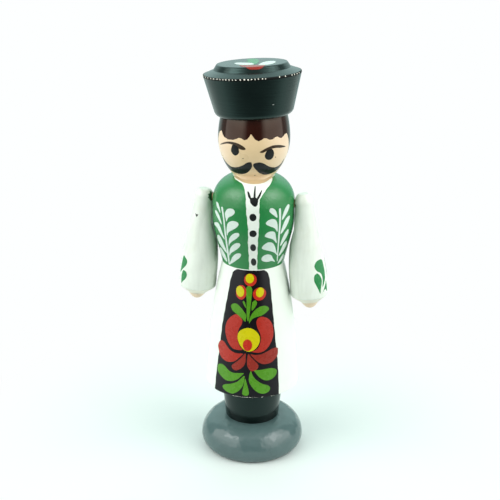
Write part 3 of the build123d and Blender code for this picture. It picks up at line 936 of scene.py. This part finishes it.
# %% Fill the joint under the chin
FILL_COLUMNS = 90
FILL_ROWS = 9
FILL_LIFT = 0.02
CHIN_HEIGHT = 148.6
columns = np.linspace(-46, 60, FILL_COLUMNS)
chin, chin_facing = head.at(columns, np.full(FILL_COLUMNS, CHIN_HEIGHT), FILL_LIFT)
groove, _ = coat.at(columns, np.full(FILL_COLUMNS, NECK_TOP - 0.01), FILL_LIFT)
collar_height = np.clip(np.interp(columns, neck_edge[:, 0], neck_edge[:, 1]) + 0.3, 145.9, 146.56)
collar, collar_facing = coat.at(columns, collar_height, NECK_THICK)
drawn_in = 0.45 * groove + 0.275 * (chin + collar)
share = np.linspace(0, 1, FILL_ROWS)[:, None, None]
spots = collar * (1 - share) ** 2 + 2 * drawn_in * share * (1 - share) + chin * share**2
facings = collar_facing * (1 - share) + chin_facing * share
faces = grid_faces(FILL_ROWS, FILL_COLUMNS)
painted("chin_fill", spots.reshape(-1, 3), facings.reshape(-1, 3), faces, "coat", skin_paint)
print("joint filled with", len(faces), "faces")

# %% [markdown]
# ## The edge of the hair
# A band of dark brown gloss sits under the hat. Its lower edge is scalloped over the forehead, drops at the
# temples and runs low round the nape. The scallops are drawn in millimetres from the middle of the face,
# the rest by its angle, and both are joined to one line round the head.

# %% Draw the hairline
FACE_MIDDLE = 6.0  # degrees round the head
HEAD_RADIUS = 17.1
fringe = np.array(
    [(-18.8, 169.4), (-18.0, 169.1), (-17.3, 167.9), (-15.5, 166.9), (-12.9, 166.2), (-9.8, 166.4),
     (-7.9, 167.1), (-6.6, 167.7), (-5.3, 167.5), (-3.9, 166.8), (-2.5, 167.3), (-1.5, 168.7), (-0.9, 169.8),
     (0.0, 168.7), (1.0, 167.3), (2.6, 166.5), (4.0, 167.0), (5.2, 167.8), (6.4, 167.7), (7.9, 166.9),
     (9.5, 167.0), (10.9, 167.7), (12.2, 168.0), (13.6, 167.2), (15.0, 166.9), (16.5, 167.6), (17.8, 168.4),
     (19.8, 168.4)]
)
scallops = [(FACE_MIDDLE + math.degrees(u / HEAD_RADIUS), z) for u, z in fringe]
right_nape = [(-180, 151.5), (-125, 152), (-104, 154), (-90, 157.5), (-80, 161.5), (-71, 165.8),
              (-65, 168.3)]
left_nape = [(76.7, 166), (81, 163), (92, 157.5), (106, 154), (125, 152), (180, 151.5)]
hairline = np.array(right_nape + scallops + left_nape)
print("points of the hairline:", len(hairline))

# %% [markdown]
# ## The hair
# The band is a grid with one column for each angle, from the hairline up to the hat's leaning seat. The
# smoke leaves through a hole at the back of the head, and the paint stops round it: points near the hole
# are pushed outwards, and the faces left inside it are dropped.

# %% Paint the hair
HAIR_ROWS = 22
HAIR_THICK = 0.07
SEAT_RADIUS = 15.9  # of the hat on the head
SMOKE_HOLE = 158.1  # height of its middle
HOLE_EDGE, HOLE_REACH = 2.75, 4.2  # where the paint ends, and how far points are pushed


def round_back(turn):
    """Millimetres round the head from the middle of its back."""
    return np.radians(np.abs(turn) - 180) * HEAD_RADIUS


def over_smoke_hole(angle, level):
    return math.hypot(round_back(angle), level - SMOKE_HOLE) < HOLE_EDGE - EDGE


columns = np.concatenate([np.linspace(-180, -66, 77), np.linspace(-65, 78, 240), np.linspace(79, 180, 70)])
low = np.interp(columns, hairline[:, 0], hairline[:, 1])
seat_tilt = SEAT_RADIUS * math.tan(math.radians(HAT_LEAN))
high = HAT_SEAT - 0.05 + seat_tilt * np.sin(np.radians(columns))
height = np.linspace(low, high, HAIR_ROWS)
away = np.hypot(round_back(columns), height - SMOKE_HOLE).clip(1e-3)
pushed = HOLE_EDGE + away * (HOLE_REACH - HOLE_EDGE) / HOLE_REACH
push = np.where(away < HOLE_REACH, pushed / away, 1.0)
turn = np.sign(columns) * (180 + np.degrees(round_back(columns) * push / HEAD_RADIUS))
height = SMOKE_HOLE + (height - SMOKE_HOLE) * push
lift = eased(HAIR_ROWS, HAIR_THICK, last=HAIR_THICK)[:, None]
broad_coat("hair", head, turn, height, lift, "coat", hair_brown, over_smoke_hole)

# %% [markdown]
# ## The face
# Eyebrows, eyes and a grand moustache are all there is to the face, each made with one or two touches of
# the brush. The brows are browner and thinner than the rest. The moustache tapers up round the cheeks, so
# its tips only show from the side. Three tiny specks fell from the brush.

# %% Paint the face
brows = [
    drawn([(-20.2, 162.3), (-15.9, 164.3), (-12.2, 165.3), (-9.2, 165.4), (-6.6, 164.9), (-4.5, 163.9),
           (-3.3, 162.8), (-4.0, 162.2), (-5.8, 162.3), (-7.5, 163.2), (-9.9, 164.1), (-12.9, 164.2),
           (-15.9, 163.5)]),
    drawn([(3.2, 161.3), (4.8, 162.3), (6.7, 163.2), (9.3, 164.0), (12.1, 164.0), (15.4, 163.4),
           (18.6, 162.2), (14.7, 162.3), (11.5, 162.7), (8.8, 162.4), (6.6, 161.7), (4.6, 160.9)]),
]
eyes_and_moustache = [
    drawn([(-10.8, 162.4), (-10.1, 164.0), (-8.4, 164.7), (-7.1, 163.7), (-6.6, 162.0), (-6.7, 160.5),
           (-7.7, 159.3), (-9.0, 159.0), (-10.3, 159.8), (-11.0, 161.1)]),
    drawn([(6.5, 161.5), (7.5, 162.5), (9.3, 162.4), (10.3, 161.1), (10.4, 159.3), (9.7, 157.9),
           (8.3, 157.1), (6.8, 157.4), (5.8, 158.5), (5.8, 160.0)]),
    drawn([(-0.7, 156.1), (-1.8, 156.2), (-3.2, 155.6), (-4.7, 154.4), (-6.8, 153.3), (-9.2, 152.6),
           (-11.9, 152.5), (-14.2, 153.3), (-16.9, 154.6), (-19.4, 156.2), (-18.6, 153.6), (-17.2, 151.7),
           (-15.2, 150.3), (-11.3, 149.5), (-8.4, 149.1), (-5.4, 149.2), (-2.8, 150.3), (-1.1, 152.3),
           (-0.3, 154.2), (-0.5, 155.6)]),
    drawn([(0.6, 155.5), (1.5, 155.9), (3.4, 156.1), (5.3, 155.4), (7.4, 153.9), (9.6, 152.9), (12.3, 152.5),
           (15.0, 153.0), (17.1, 154.2), (18.8, 155.8), (17.8, 152.7), (14.6, 150.5), (10.6, 149.4),
           (7.6, 148.9), (5.2, 149.1), (3.2, 150.2), (1.5, 152.1), (0.4, 153.7), (0.1, 154.8)]),
]
on_face = head.pattern(FACE_MIDDLE)
marks("brows", on_face, brows, "coat", brow_brown, grain=0.6)
marks("eyes_and_moustache", on_face, eyes_and_moustache, "coat", face_black, grain=0.6)
specks = [oval(middle, 0.3, 0.22, 30) for middle in ((0.9, 148.9), (-4.6, 157.9), (11.4, 158.1))]
marks("face_specks", on_face, specks, "coat", brow_brown, thick=0.04, grain=0.3)

# %% [markdown]
# ## The sprigs on the cuffs
# Each sleeve has a green sprig on its outer side, heart-shaped leaves either side of a stalk. The two are
# drawn one by one, because the left one is larger and ends in a fork, but on each the second side mirrors
# the first. Heights on a sleeve run down from the shoulder peg.

# %% Paint the sprigs
def sprig(leaves, extra=()):
    """Leaves on one side of the stalk, the same mirrored on the other, and marks that aren't mirrored."""
    mirrored = [[(-x, y) for x, y in leaf][::-1] for leaf in leaves]
    return [drawn(leaf) for leaf in [*leaves, *mirrored, *extra]]


left_leaves = [
    [(-3.0, -27.2), (-4.8, -27.2), (-6.4, -27.8), (-7.7, -29.6), (-7.5, -31.3), (-6.5, -32.7), (-5.3, -33.5),
     (-4.4, -34.9), (-4.2, -37.7), (-4.8, -41.2), (-3.3, -39.5), (-1.9, -37.0), (-1.5, -33.0),
     (-2.0, -28.4)],
    [(-6.9, -33.5), (-8.0, -33.8), (-8.8, -34.7), (-9.2, -36.7), (-8.8, -38.5), (-7.4, -42.0), (-6.5, -44.2),
     (-5.9, -41.6), (-4.9, -38.3), (-5.0, -36.5), (-5.7, -34.8)],
]
left_fork = [(-1.3, -38.8), (-2.2, -40.2), (-4.6, -43.9), (-2.8, -42.9), (-1.1, -44.6), (-0.8, -41.3)]
right_leaves = [
    [(2.5, -30.7), (4.3, -31.0), (5.9, -32.0), (6.3, -33.3), (5.8, -34.9), (4.6, -36.5), (3.1, -38.2),
     (1.5, -39.9), (1.7, -36.8), (2.0, -33.6)],
    [(5.0, -37.6), (6.7, -38.1), (7.4, -39.5), (7.1, -41.0), (6.2, -42.4), (4.8, -43.9), (3.6, -45.1),
     (3.4, -43.0), (3.4, -40.5), (4.0, -38.4)],
]
marks("left_sprig", left_sleeve.pattern(80), sprig(left_leaves, [left_fork]), "left_arm", cuff_green)
marks("right_sprig", right_sleeve.pattern(-72), sprig(right_leaves), "right_arm", cuff_green)

# %% [markdown]
# ## The hands
# The blunt tip of each sleeve was dipped in skin colour for the hand. It is a broad coat round the whole
# tip, with an edge that wanders as the rim of a dip does.

# %% Paint the hands
HAND_ROWS = 12
HAND_THICK = 0.06
HAND_TIP = -54.15


def hand(name, sleeve, body, wrist):
    columns = np.linspace(-180, 180, 61)
    edge = wrist + 0.25 * np.sin(np.radians(columns * 2 + 40)) + 0.1 * np.sin(np.radians(columns * 7))
    lift = eased(HAND_ROWS, HAND_THICK, first=HAND_THICK)[:, None]
    broad_coat(name, sleeve, columns, np.linspace(HAND_TIP, edge, HAND_ROWS), lift, body, hand_paint)


hand("left_hand", left_sleeve, "left_arm", -50.1)
hand("right_hand", right_sleeve, "right_arm", -50.3)

# %% [markdown]
# ## The flower on the crown
# A small flower lies on the hat's flat crown: a white petal on either side, a red one that runs over the
# front edge and a green one behind. Here a pattern is measured from the middle of the crown along the
# surface, so that the red petal bends over the edge by itself. It needs finer triangles for that.

# %% Paint the crown
def on_crown(flat, lift):
    along = hat.length[-1] + hat.radii[-1] - np.hypot(flat[:, 0], flat[:, 1])
    turn = np.degrees(np.arctan2(flat[:, 0], -flat[:, 1]))
    return hat.at(turn, np.interp(along, hat.length, hat.heights), lift)


crown_whites = [
    [(-7.9, -2.1), (-6.4, -6.0), (-4.2, -8.2), (-1.3, -9.3), (1.3, -9.2), (2.2, -6.9), (0.2, -3.6),
     (-2.8, -2.3), (-5.9, -0.8)],
    [(4.6, -10.2), (5.0, -5.1), (6.1, -1.1), (7.9, 1.6), (10.2, 1.8), (11.4, -1.1), (11.1, -5.7),
     (9.7, -9.4), (7.6, -10.6)],
]
crown_red = [(-4.2, -10.5), (-2.7, -9.7), (0.1, -10.0), (4.0, -11.0), (7.6, -10.9), (7.4, -14.8),
             (6.0, -16.7), (3.5, -17.4), (1.2, -17.4), (-1.0, -15.9), (-3.0, -13.2)]
crown_green = [(2.6, -8.0), (0.6, -4.5), (-0.8, -1.0), (-2.4, 4.0), (-3.9, 9.5), (-2.6, 13.0), (-0.5, 13.2),
               (1.5, 9.8), (2.9, 3.5), (3.4, -2.5)]
marks("crown_whites", on_crown, [drawn(petal) for petal in crown_whites], "coat", spray_white)
marks("crown_reds", on_crown, [drawn(crown_red, 12)], "coat", deep_red, thick=0.12, grain=0.25)
marks("crown_greens", on_crown, [drawn(crown_green)], "coat", cuff_green)

# %% [markdown]
# ## The worn rim and its painted shade
# The rim of the hat has been knocked all round. A matt, slightly darker black runs along its edge, for the
# lost gloss and as painted shade under the edge, and the black has flaked off in a dotted line of small
# chips down to the wood, thickest in front. Chips are tiny rough outlines from a seeded random generator, so
# they come out the same each time. Towards the sides they are spread out, so that the dots stay apart where
# the rim is seen at a slant.

# %% Chip the rim
RIM_RADIUS = 23.1
RIM_LOW, RIM_HEIGHT, RIM_TOP = 18.9, 19.6, 20.0  # above the hat's foot
RIM_THICK = 0.04
generator = random.Random(11)


def chip(middle, long, tall):
    corners = generator.randint(6, 8)
    t = [2 * math.pi * (i + generator.uniform(-0.25, 0.25)) / corners for i in range(corners)]
    reach = [generator.uniform(0.7, 1.15) for _ in t]
    outline = [(long * r * math.cos(a), tall * r * math.sin(a)) for a, r in zip(t, reach)]
    return np.array(middle) + np.array(outline)


edge_rows = hat.climb(RIM_LOW, RIM_TOP, 0.3)
lift = eased(len(edge_rows), RIM_THICK)[:, None]
# painted shade: a matt, darker black band along the rim's edge
broad_coat("rim_wear_and_painted_shade", hat, np.linspace(-180, 180, 181), edge_rows[:, None], lift, "coat", matt_black_and_painted_shade)
rim_chips = []
turn = -178.0
while turn < 178:
    front = math.exp(-((turn / 30) ** 2))
    spread = min(1 / max(math.cos(math.radians(turn - 8)), 0.01), 1.8)
    long = (generator.uniform(0.15, 0.24) + front * generator.uniform(0.05, 0.32)) * spread
    tall = generator.uniform(0.26, 0.34)
    middle = (math.radians(turn) * RIM_RADIUS, RIM_HEIGHT + generator.uniform(-0.08, 0.08))
    if generator.random() < (0.94 if turn < 30 else 0.72):
        rim_chips.append(chip(middle, long, tall))
    turn += math.degrees((2 * long + generator.uniform(0.75, 1.2) * spread) / RIM_RADIUS)
marks("rim_chips", hat.pattern(0), rim_chips, "coat", chipped_wood, thick=0.08, under=0.03, grain=0.15)

# %% [markdown]
# ## Chips and nicks elsewhere
# The hem of the apron has lost a few flakes too. The hat has a grey bruise low in front and the right
# sleeve a dark, three-cornered nick.

# %% Chip the hem, the hat and the sleeve
HEM_CHIPS = 34
HEM_CHIPS_FROM = 37.72  # height of the lowest
hem_chips = []
for _ in range(HEM_CHIPS):
    middle = (generator.uniform(-9, 14), HEM_CHIPS_FROM + generator.uniform(0, 0.25))
    hem_chips.append(chip(middle, generator.uniform(0.12, 0.45), generator.uniform(0.05, 0.1)))
marks("hem_chips", on_apron, hem_chips, "coat", chipped_wood, thick=0.04, under=APRON_THICK, grain=0.3)
bruise = chip((0, 7.2), 0.55, 0.3)
marks("hat_nick", hat.pattern(34.4), [bruise], "coat", bruise_grey, thick=0.02, grain=0.3)
nick = [(-1.0, -8.0), (0.9, -8.2), (0.0, -9.7)]
marks("sleeve_nick", right_sleeve.pattern(-22), [nick], "right_arm", ink_black, thick=0.04, grain=0.3)

# %% [markdown]
# ## The light tent
# The figure stood in a small white light tent: bright cloth left and right, a dimmer back and an open, dark
# front where the camera looked in. That dark front is what keeps the black lacquer black, and the side
# cloths make the two pale panels in the glossy hair. The tent is painted into the world by angle: once
# round by a colour ramp, and brighter towards the roof. The camera itself sees plain white there.

# %% Build the light tent
PLAIN_WHITE = (0.985, 1.0, 1.0, 1)
TENT_WALL = [  # from the back to the front, and how bright
    (0.0, 0.5), (0.15, 0.5), (0.21, 0.22), (0.37, 0.22), (0.4, 1.0),
    (0.885, 1.0), (0.93, 0.6), (0.965, 0.08), (1.0, 0.05),
]
BACK_END = 0.38  # the back is tinted, the rest nearly white
world = bpy.data.worlds.new("tent")
scene.world = world
world.use_nodes = True
tree = world.node_tree
tree.nodes.clear()
way = add(tree, "ShaderNodeTexCoord").outputs["Generated"]
level = vector_calc(tree, "NORMALIZE", vector_calc(tree, "MULTIPLY", way, (1, 1, 0)))
to_front = (math.sin(CAMERA_TURN), -math.cos(CAMERA_TURN), 0)
facing = vector_calc(tree, "DOT_PRODUCT", level, to_front)
wall = add(tree, "ShaderNodeValToRGB", {"Fac": between(tree, facing, 0.0, 1.0, -1.0, 1.0)})
ramp = wall.color_ramp
while len(ramp.elements) < len(TENT_WALL):
    ramp.elements.new(0.5)
for element, (where, bright) in zip(ramp.elements, TENT_WALL):
    element.position = where
    red = 0.72 if where < BACK_END else 0.97
    element.color = (red * bright, bright, 0.97 * bright, 1)
height = along_axis(tree, way, 2)
rise = between(tree, height, 1.45, 2.9, 0.05, 0.4)
side_cloth = vector_calc(tree, "MULTIPLY", wall.outputs[0], rise)
above_front = between(tree, height, 0.0, 0.4, 0.25, 0.5)
lit_cloth = vector_calc(tree, "MAXIMUM", side_cloth, above_front)
roof = between(tree, height, 0.0, 1.0, 0.72, 0.9)
tent_colour = blend_colours(tree, roof, lit_cloth, (0.82, 0.86, 0.84))
tent = add(tree, "ShaderNodeBackground", {"Color": tent_colour, "Strength": 1.0})
white = add(tree, "ShaderNodeBackground", {"Color": PLAIN_WHITE, "Strength": 1.0})
seen = add(tree, "ShaderNodeLightPath").outputs["Is Camera Ray"]
both = add(tree, "ShaderNodeMixShader", {0: seen, 1: tent.outputs[0], 2: white.outputs[0]})
add(tree, "ShaderNodeOutputWorld", {0: both.outputs[0]})
print("tent walls with", len(TENT_WALL), "stops")

# %% [markdown]
# ## The floor
# The floor is a sheet of pale paper that keeps the figure's shadow. In front its colour is painted darker,
# as painted shade outside the tent's light, which the glossy base reflects. Away from the figure it fades,
# for the camera only, to the same white as the background, so that no horizon shows.

# %% Lay the floor
floor_mesh = bpy.data.meshes.new("floor")
corners = [(-0.6, -0.5, 0), (0.6, -0.5, 0), (0.6, 0.6, 0), (-0.6, 0.6, 0)]
square_on = Matrix.Rotation(CAMERA_TURN, 3, "Z")
floor_mesh.from_pydata([square_on @ Vector(c) for c in corners], [], [(0, 1, 2, 3)])
floor = bpy.data.objects.new("floor", floor_mesh)
scene.collection.objects.link(floor)
LIT_PAPER, FLOOR_PAINTED_SHADE = (0.66, 0.715, 0.695), (0.09, 0.11, 0.11)
floor_paper, tree, paper = new_finish("floor_paper", LIT_PAPER, 0.6)
place = add(tree, "ShaderNodeTexCoord").outputs["Object"]
# painted shade: the paper's colour darkens towards the front
outside = between(tree, vector_calc(tree, "DOT_PRODUCT", place, to_front), 0.0, 1.0, 55 * MM, 240 * MM)
tree.links.new(blend_colours(tree, outside, LIT_PAPER, FLOOR_PAINTED_SHADE), paper.inputs["Base Color"])
fade = between(tree, vector_calc(tree, "LENGTH", place), 0.0, 1.0, 45 * MM, 165 * MM, "SMOOTHSTEP")
share = calc(tree, "MULTIPLY", fade, add(tree, "ShaderNodeLightPath").outputs["Is Camera Ray"])
white = add(tree, "ShaderNodeEmission", {"Color": PLAIN_WHITE, "Strength": 1.0})
both = add(tree, "ShaderNodeMixShader", {0: share, 1: paper.outputs[0], 2: white.outputs[0]})
tree.links.new(both.outputs[0], tree.nodes["Material Output"].inputs["Surface"])
floor_mesh.materials.append(floor_paper)
print("floor laid")

# %% [markdown]
# ## The lamps
# Two soft lamps hang left and right above the figure, outside the cloth. They give it form and the two
# highlights on the base, and are weak enough that a colour comes out about as it was mixed.

# %% Hang the lamps
def lamp(name, turn, rise, distance, size, power):
    light = bpy.data.lights.new(name, "AREA")
    light.shape = "SQUARE"
    light.size = size
    light.energy = power
    holder = bpy.data.objects.new(name, light)
    scene.collection.objects.link(holder)
    a, e = CAMERA_TURN + math.radians(turn), math.radians(rise)
    away = Vector((math.sin(a) * math.cos(e), -math.cos(a) * math.cos(e), math.sin(e)))
    holder.location = Vector((0, 0, 120 * MM)) + away * distance
    holder.rotation_euler = away.to_track_quat("Z", "Y").to_euler()
    print(name, "at", [round(c, 2) for c in holder.location])


for name, turn in (("lamp_left", -66), ("lamp_right", 64)):
    lamp(name, turn, rise=40, distance=0.62, size=0.32, power=0.85)
